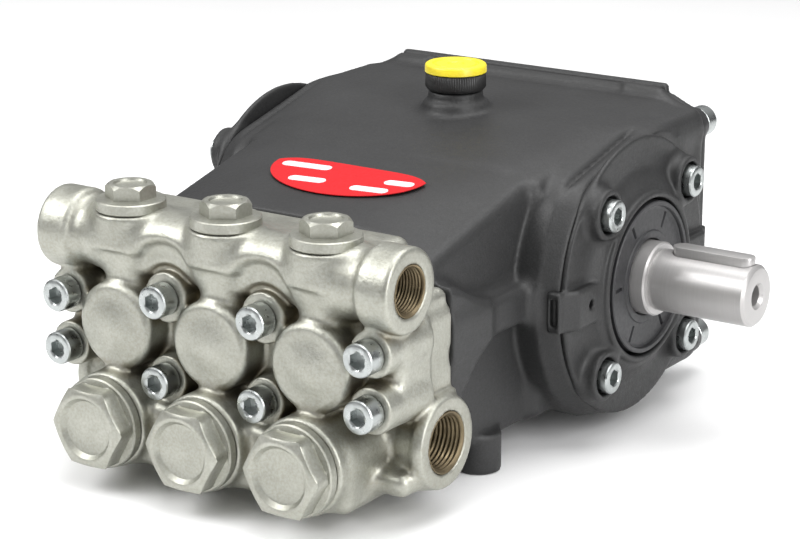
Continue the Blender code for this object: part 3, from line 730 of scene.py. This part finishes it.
def build_flange(side):
    """Bearing flange: stepped disc with four screw pads and two lugs; only the right one is open."""
    word = "right" if side > 0 else "left"

    def span(a, b):
        return sorted((side * a, side * b))

    def cone(a, b, ra, rb, e):
        return cyl("X", SHAFT_Y, AX_Z, *span(a, b), *((ra, e, rb) if side > 0 else (rb, e, ra)))

    def way_y(way, y):
        return SHAFT_Y + way * (SHAFT_Y - y)
    f = Field((span(66, 96)[0], 109, -55), (span(66, 96)[1], REAR_Y, 62), step=0.9)
    f.add(cyl("X", SHAFT_Y, AX_Z, *span(86.0, 88.4), 56.8, 0.9))
    f.add(cone(86.3, 92.8, 45.0, 37.0, 1.0), 3)
    f.add(cyl("X", SHAFT_Y, AX_Z, *span(86.3, 95), 35.0, 0.7), 1.5)
    for y, z in FLANGE_SPOTS:
        f.add(cyl("X", y, z, *span(86.3, 94.6), 10.2, 1.0), 4)
    for way in (-1, 1):
        out = [(86.4, way_y(-way, 112.3)), (88.2, way_y(-way, 112.8)), (92.3, way_y(-way, 118.5)),
               (92.3, way_y(-way, 141)), (86.4, way_y(-way, 141))][::way]
        f.add(wedge(sided(out, side), "Z", -6.0, 10.2, 0.5), 1.2)
        f.add(block(*span(82.6, 88.4), *sorted((way_y(-way, 109.9), way_y(-way, 113.1))),
                    -6.0, 10.2, 0.5), 0.8)
        f.cut(block(*span(83.8, 87.0), *sorted((way_y(-way, 106), way_y(-way, 112.2))),
                    -3.4, 7.6, 0.3))
    f.add(cyl("X", SHAFT_Y, AX_Z, *span(66.5, 88), 40.0, 0.5))
    f.cut(cyl("X", SHAFT_Y, AX_Z, *span(60, 83.3), 31.3, 0.2))
    if side > 0:
        f.cut(cyl("X", SHAFT_Y, AX_Z, 80, 97, 25.0, 0.2))
        f.cut(cyl("X", SHAFT_Y, AX_Z, 86.3, 97, 32.3, 0.2))
    else:
        f.cut(cyl("X", SHAFT_Y, AX_Z, -97, -93, 30.0, 0.3))
    for y, z in FLANGE_SPOTS:
        f.cut(cyl("X", y, z, *span(84, 97), CLEAR_R, 0.1))
        f.cut(cyl("X", y, z, *span(90.0, 99), 7.7, 0.1))
    for way in (-1, 1):
        f.cut(cyl("X", way_y(way, 128.6), 2.2, *span(85, 95), 1.8, 0.2))
    obj = casting("bearing_flange_" + word + "_casting", f, PAINT)
    return settle(obj, "housing", "paint", "bearing_flange_" + word)


# ------------------------------------------------------------------ hardware
def cap_screw(name, node, axis, c1, c2, face, into, shank):
    """M8 socket head cap screw; face is its head's free end, into the sign of the way its shank points."""
    w = into
    rings = [(face + w * 4.6, 0.0), hexagon(face + w * 4.4, 3.0), hexagon(face + w * 0.35, 3.05),
             (face, 3.75), (face, 5.5), (face + w * 0.25, 6.05), (face + w * 0.8, 6.4),
             (face + w * 7.6, 6.5), (face + w * 8.0, 6.2), (face + w * 8.0, 4.0),
             (face + w * (7.5 + shank), 4.0), (face + w * (8 + shank), 3.4),
             (face + w * (8 + shank), 0.0)]
    obj = make(name, *turned(axis, c1, c2, rings, 48), ZINC, sharp=28)
    return settle(obj, "housing", "zinc", node)


def build_screws():
    for i, (x, z) in enumerate(HEAD_SCREWS):
        cap_screw("head_screw_%d_detail" % (i + 1), "head_screw_%d" % (i + 1), "Y", x, z,
                  0.0, 1, 60.0)
    for side, word in ((1, "right"), (-1, "left")):
        for i, (y, z) in enumerate(FLANGE_SPOTS):
            cap_screw("flange_screw_%s_%d_detail" % (word, i + 1), "flange_screw_%s_%d" % (word, i + 1),
                      "X", y, z, side * 98.0, -side, 20.0)
    for i, (x, z) in enumerate(COVER_SCREWS):
        cap_screw("cover_screw_%d_detail" % (i + 1), "cover_screw_%d" % (i + 1), "Y", x, z,
                  248.6, -1, 22.0)


def build_caps():
    for i, x in enumerate(CYL_X):
        top = CAP_TOP
        rings = [(top - 1.2, 0.0), (top - 1.2, 5.4), (top - 0.9, 6.0), (top - 0.1, 6.4), (top, 6.9),
                 (top, 7.9), hex_edge(top - 0.1, 8.45, -1.4), hexagon(49.9, 8.5), (49.6, 11.5),
                 (49.5, 12.9), (49.1, 13.4), (45.8, 13.5), (45.4, 13.2), (45.3, 9.9),
                 (39.2, 9.9), (39.0, 9.5), (39.0, 0.0)]
        obj = make("outlet_cap_%d_detail" % (i + 1), *turned("Z", x, CAP_Y, rings, 96), NICKEL_CUT,
                   sharp=30)
        settle(obj, "housing", "nickel", "outlet_cap_%d" % (i + 1))
        turn = math.pi / 6
        face = PLUG_FACE
        rings = [(face + 2.2, 0.0), (face + 2.2, 9.6), (face + 1.9, 10.6), (face + 0.9, 11.5),
                 (face + 0.2, 12.1), (face, 12.8), (face + 0.1, 13.8),
                 hex_edge(face + 0.7, 14.7, 0.9, turn), hexagon(face + 1.8, 15.0, turn, 16.6),
                 hexagon(-6.2, 15.0, turn, 16.8), (-6.0, 16.2), (-5.9, 17.3), (-5.3, 17.8),
                 (-2.4, 17.8), (-1.9, 17.4), (-1.8, 13.9), (10.2, 13.9), (10.5, 13.4), (10.5, 10.5),
                 (4.0, 10.4), (4.0, 0.0)]
        obj = make("inlet_plug_%d_detail" % (i + 1), *turned("Y", x, PLUG_Z, rings, 96), NICKEL_CUT,
                   sharp=30)
        settle(obj, "housing", "nickel", "inlet_plug_%d" % (i + 1))


def thread_sleeve(name, c1, c2, side, face, depth, major, pitch, wall):
    """Internal pipe thread: helical V grooves in a sleeve behind the port face."""
    rings = [(side * (face - depth), wall), (side * (face - 0.1), wall),
             (side * face, wall - 0.2), (side * face, major + 0.6)]
    count = int(depth / pitch * 6)
    for k in range(count + 1):
        back = 0.8 + (depth - 0.8) * k / count

        def ring(ang, back=back):
            t = np.mod(back / pitch + ang / (2 * math.pi), 1.0)
            return side * (face - back), major - 0.85 * (1 - np.abs(2 * t - 1)) * pitch * 0.62
        rings.append(ring)
    obj = make(name, *turned("X", c1, c2, rings, 96), BORE)
    return settle(obj, "housing", "nickel")


def build_threads():
    """Threads with the pitch of G 3/8 in the outlets and of G 1/2 in the inlets."""
    for side, word in ((1, "right"), (-1, "left")):
        thread_sleeve("outlet_thread_" + word, UP_Y, UP_Z, side, UP_X - 0.2,
                      depth=14.0, major=8.9, pitch=1.337, wall=9.7)
        thread_sleeve("inlet_thread_" + word, LOW_Y, LOW_Z, side, LOW_X - 0.2,
                      depth=15.0, major=11.0, pitch=1.814, wall=11.9)


def build_seal():
    """Shaft seal whose face has six fine radial grooves."""
    def face(r, level):
        def ring(ang):
            t = np.mod(ang / (math.pi / 3) + 0.5, 1.0) - 0.5
            deep = (np.abs(t) * (math.pi / 3) * r < 0.55) & (21.0 < r < 27.6)
            return level - 1.0 * deep, r
        return ring
    rings = [(86.6, 15.4), (86.6, 31.0), (95.0, 31.0), (95.4, 30.6), (95.4, 29.2), (95.0, 28.8),
             (94.1, 28.7), (94.0, 28.2), face(27.7, 93.7), face(27.5, 93.7), face(21.1, 93.7),
             face(20.9, 93.7), (93.7, 19.2), (94.2, 18.8), (94.4, 17.4), (94.0, 15.9), (93.2, 15.4)]
    obj = make("shaft_seal_detail", *turned("X", SHAFT_Y, AX_Z, rings, 360), RUBBER, sharp=40)
    settle(obj, "housing", "rubber", "shaft_seal")


def cut_away(obj, tool):
    mod = obj.modifiers.new("cut", "BOOLEAN")
    mod.operation = "DIFFERENCE"
    mod.solver = "EXACT"
    mod.object = tool
    done = evaluated_mesh(obj)
    obj.modifiers.clear()
    obj.data = done
    bpy.data.objects.remove(tool, do_unlink=True)


def slot_bar(name, x0, x1, z0, z1, r, mat, edge=0.0):
    """Round-ended bar along X over the shaft axis; edge is the bevel on its long sides' rims."""
    bm = bmesh.new()
    pts = []
    for cx, start in ((x1 - r, -math.pi / 2), (x0 + r, math.pi / 2)):
        pts += [(cx + r * math.cos(start + math.pi * k / 16), r * math.sin(start + math.pi * k / 16))
                for k in range(17)]
    low = [bm.verts.new(metres((x, SHAFT_Y + y, z0))) for x, y in pts]
    high = [bm.verts.new(metres((x, SHAFT_Y + y, z1))) for x, y in pts]
    bm.faces.new(low)
    bm.faces.new(high[::-1])
    for k in range(len(pts)):
        n = (k + 1) % len(pts)
        bm.faces.new((low[k], high[k], high[n], low[n]))
    bmesh.ops.recalc_face_normals(bm, faces=bm.faces[:])
    if edge:
        rims = [e for e in bm.edges if abs(e.verts[0].co.z - e.verts[1].co.z) < 1e-6]
        bmesh.ops.bevel(bm, geom=rims, offset=edge / MM, segments=2, profile=0.5, affect="EDGES")
    return from_bmesh(name, bm, mat)


def build_shaft():
    """Drive end with its keyway and key, left journal, webs and three throws."""
    end = SHAFT_END
    rings = [(57.0, 0.0), (57.0, 15.0), (99.2, 15.0), (100.0, 14.4), (100.2, 12.5), (end - 1.4, 12.5),
             (end - 0.1, 11.3), (end, 11.0), (end, 5.4), (end - 1.4, 4.2), (end - 18, 4.2),
             (end - 20, 0.0)]
    shaft = make("crankshaft_body", *turned("X", SHAFT_Y, AX_Z, rings, 128), GROUND)
    top = AX_Z + 12.5
    cut_away(shaft, slot_bar("keyway", 105.2, 140.9, top - 4.0, top + 5, 4.3, GROUND))
    journal = [(-82.8, 0), (-82.8, 14.2), (-82.0, 15), (-57, 15), (-57, 0)]
    inner = [turned("X", SHAFT_Y, AX_Z, journal, 64)]
    for a, b in ((-59.0, -54.7), (-36.1, -9.3), (9.3, 36.1), (54.7, 59.0)):
        web = [(a, 0), (a, 23.0), (a + 0.5, 23.5), (b - 0.5, 23.5), (b, 23.0), (b, 0)]
        inner.append(turned("X", SHAFT_Y, AX_Z, web, 64))
    throw = 6
    for x, phase in zip(CYL_X, (0.0, 120.0, 240.0)):
        y = SHAFT_Y + throw * math.cos(math.radians(phase))
        z = AX_Z + throw * math.sin(math.radians(phase))
        pin = [(x - 9.8, 0), (x - 9.8, 17.0), (x + 9.8, 17.0), (x + 9.8, 0)]
        inner.append(turned("X", y, z, pin, 64))
    webs = make("crankshaft_throws", *merged(*inner), GROUND, sharp=35)
    for obj in (shaft, webs):
        obj.data.shade_smooth()
        obj.data.set_sharp_from_angle(angle=math.radians(30))
        settle(obj, "crank", "steel", "crankshaft")
    key = slot_bar("shaft_key_detail", 105.5, 140.6, top - 3.7, top + 3.0, 4.0, GROUND, 0.35)
    key.data.shade_smooth()
    key.data.set_sharp_from_angle(angle=math.radians(40))
    settle(key, "crank", "steel", "shaft_key")


def build_filler():
    """Yellow plastic top over a knurled black skirt and plug."""
    top = FILLER_TOP
    rings = [(top - 0.5, 0.0), (top - 0.5, 2.2), (top - 0.8, 2.6), (top - 0.8, 3.2), (top - 0.3, 3.7),
             (top - 0.3, 8.2), (top - 0.8, 8.6), (top - 0.8, 9.4), (top - 0.1, 9.9), (top, 10.6),
             (top, 11.9), (top - 0.4, 12.5), (top - 1.0, 12.8), (top - 3.5, 12.85), (top - 3.8, 12.4),
             (top - 3.8, 0.0)]
    obj = make("filler_cap_top", *turned("Z", 0, FILLER_Y, rings, 96), YELLOW, sharp=45)
    settle(obj, "filler", "yellow", "filler_cap")

    def knurl(along, rad):
        def ring(ang):
            return along, rad + 0.35 * np.cos(ang * 40) ** 2
        return ring
    rings = [(top - 3.9, 0.0), (top - 3.9, 11.9), knurl(top - 4.3, 12.2), knurl(70.2, 12.3),
             (69.6, 12.2), (69.0, 11.8), (69.0, 8.2), (57.0, 8.2), (56.6, 0.0)]
    obj = make("filler_cap_skirt", *turned("Z", 0, FILLER_Y, rings, 240), BLACK, sharp=45)
    settle(obj, "filler", "yellow", "filler_cap")


def film(name, outline, lift, mat):
    """Sheet 0.25 mm thick on the sloping top; its upper side lies lift above it."""
    bm = bmesh.new()
    ring = [bm.verts.new(metres((x, y, top_height(y) + lift))) for x, y in outline]
    face = bm.faces.new(ring)
    out = bmesh.ops.extrude_face_region(bm, geom=[face])
    moved = [v for v in out["geom"] if isinstance(v, bmesh.types.BMVert)]
    bmesh.ops.translate(bm, verts=moved, vec=(0, 0, -0.00025))
    bmesh.ops.recalc_face_normals(bm, faces=bm.faces[:])
    return from_bmesh(name, bm, mat)


def build_label():
    """Half-moon plate, its flat side to the rear, with four plain white fields."""
    half = 36.5

    def upper(x):
        return 100.6 - 5.0 * (abs(x) / half) ** 6

    def lower(x):
        return 95.0 - 23.6 * math.sqrt(max(0.0, 1 - (x / half) ** 2))

    def across(x):
        return 1.3 + 0.96 * x
    xs = [half * math.sin(math.pi / 2 * k / 24) for k in range(-24, 25)]
    outline = [(across(x), upper(x)) for x in xs] + [(across(x), lower(x)) for x in xs[::-1]]
    settle(film("label_plate", outline, 0.35, RED), "housing", "red", "label")
    # x and y of the middle, length and turn of each field
    fields = {"outer_left": (-18.6, 93.4, 22.5, 0.07), "inner_left": (-10.0, 81.4, 16.5, 0.1),
              "inner_right": (19.2, 81.6, 16.5, 0.1), "outer_right": (27.0, 91.0, 12.8, 0.1)}
    for word, (cx, cy, length, turn) in fields.items():
        pts = []
        r = 2.3   # half the width of a field
        for sx, start in ((1, -math.pi / 2), (-1, math.pi / 2)):
            pts += [(sx * (length / 2 - r) + r * math.cos(start + math.pi * k / 10),
                     r * math.sin(start + math.pi * k / 10)) for k in range(11)]
        pts = [(cx + x * math.cos(turn) - y * math.sin(turn),
                cy + x * math.sin(turn) + y * math.cos(turn)) for x, y in pts]
        settle(film("label_field_" + word, pts, 0.45, WHITE), "housing", "red")


def build_cover():
    f = Field((-86, 231, -54), (86, 243, 70), step=1.1)
    rear_rim(f, 232.3, 236.6, 68, 1)
    f.add(block(-62, 62, 234, 242, -46, 60, 2), 3)
    for x, z in COVER_SCREWS:
        f.add(cyl("Y", x, z, 232.3, 240.3, 7.3, 1), 2)
    f.keep(block(-86, 86, 232.3, 243, -60, 70, 0.1))
    f.cut(block(-58, 58, 226, 235.0, -40, 52, 1))
    for x, z in COVER_SCREWS:
        f.cut(cyl("Y", x, z, 228, 245, CLEAR_R, 0.1))
    f.cut(cyl("Y", 0, AX_Z, 228, 245, 12.3, 0.2))
    settle(casting("rear_cover_casting", f, PAINT), "housing", "paint", "rear_cover")
    rings = [(237, 0), (237, 11.9), (242.3, 11.9), (242.3, 14.6), (242.7, 15.0), (245.0, 15.0),
             (245.8, 14.4), (246.0, 13.5), (246.0, 10.6), (245.4, 10.0), (244.4, 9.6), (244.2, 0)]
    obj = make("sight_glass_detail", *turned("Y", 0, AX_Z, rings, 72), GLASS, sharp=40)
    settle(obj, "housing", "glass", "sight_glass")


def dress_inner_parts():
    """Materials for the CAD nodes that are carried as they are."""
    looks = {"connecting_rod": IRON, "wrist_pin": GROUND, "guide": IRON, "plunger": CERAMIC,
             "packing": BRASS, "inlet_valve": ZINC, "outlet_valve": ZINC, "bearing": GROUND}
    for node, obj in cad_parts.items():
        for stem, mat in looks.items():
            if node.startswith(stem) and "flange" not in node:
                obj.data.materials.clear()
                obj.data.materials.append(mat)


# ------------------------------------------------------------------ stage
def build_floor():
    mesh = bpy.data.meshes.new("floor")
    w = FLOOR_HALF
    mesh.from_pydata([(-w, -w, 0), (w, -w, 0), (w, w, 0), (-w, w, 0)], [], [(0, 1, 2, 3)])
    floor = linked("floor", mesh)
    n = Nodes("pale_floor")
    tone = n.ramp(n.noise(3, 2), [(0.3, (0.86, 0.86, 0.86)), (0.7, (0.9, 0.9, 0.9))])
    mesh.materials.append(n.done(tone, Roughness=0.9))


def build_world():
    """White to the camera; a grey to white gradient, lighter above, lights the pump."""
    world = bpy.data.worlds.new("white_room")
    bpy.context.scene.world = world
    world.use_nodes = True
    tree = world.node_tree
    back = tree.nodes["Background"]
    coord = tree.nodes.new("ShaderNodeTexCoord")
    split = tree.nodes.new("ShaderNodeSeparateXYZ")
    ramp = tree.nodes.new("ShaderNodeValToRGB")
    ramp.color_ramp.elements[0].position = 0.0
    ramp.color_ramp.elements[0].color = (0.16, 0.16, 0.165, 1)
    ramp.color_ramp.elements[1].position = 0.75
    ramp.color_ramp.elements[1].color = (1, 1, 1, 1)
    ramp.color_ramp.elements.new(0.3).color = (0.34, 0.34, 0.345, 1)
    lit = tree.nodes.new("ShaderNodeBackground")
    lit.inputs["Strength"].default_value = 0.8
    back.inputs["Color"].default_value = (1, 1, 1, 1)
    back.inputs["Strength"].default_value = 1.0
    path = tree.nodes.new("ShaderNodeLightPath")
    mix = tree.nodes.new("ShaderNodeMixShader")
    tree.links.new(coord.outputs["Generated"], split.inputs["Vector"])
    tree.links.new(split.outputs["Z"], ramp.inputs["Fac"])
    tree.links.new(ramp.outputs["Color"], lit.inputs["Color"])
    tree.links.new(path.outputs["Is Camera Ray"], mix.inputs["Fac"])
    tree.links.new(lit.outputs["Background"], mix.inputs[1])
    tree.links.new(back.outputs["Background"], mix.inputs[2])
    tree.links.new(mix.outputs["Shader"], tree.nodes["World Output"].inputs["Surface"])


def lamp(name, place, aim, size, power):
    """Soft box; places and sizes in metres, power in watts."""
    data = bpy.data.lights.new(name, "AREA")
    data.shape = "RECTANGLE"
    data.size, data.size_y = size
    data.energy = power
    obj = linked(name, data)
    obj.location = place
    obj.rotation_euler = (Vector(aim) - Vector(place)).to_track_quat("-Z", "Y").to_euler()


def build_lights():
    lamp("key_left", (-0.7, -0.7, 0.9), (0, -0.03, 0.05), (0.7, 0.7), 11)
    lamp("top_box", (0.1, 0.1, 1.1), (0, 0, 0.06), (0.9, 0.9), 10)
    lamp("right_strip", (1.0, -0.2, 0.5), (0.02, 0, 0.06), (0.35, 0.9), 9)


def build_camera():
    data = bpy.data.cameras.new("camera")
    data.lens = 112.0
    data.sensor_width = 36.0
    data.clip_end = 50.0
    obj = linked("camera", data)
    obj.location = (0.52465, -0.7969, 0.3498)
    obj.rotation_euler = (math.radians(73.527), 0.0, math.radians(33.986))
    bpy.context.scene.camera = obj


build_floor()
build_world()
build_lights()
build_camera()
build_manifold()
build_crankcase()
build_flange(1)
build_flange(-1)
build_cover()
build_screws()
build_caps()
build_threads()
build_seal()
build_shaft()
build_filler()
build_label()
dress_inner_parts()
bpy.context.scene.view_settings.view_transform = "Standard"
bpy.context.view_layer.update()
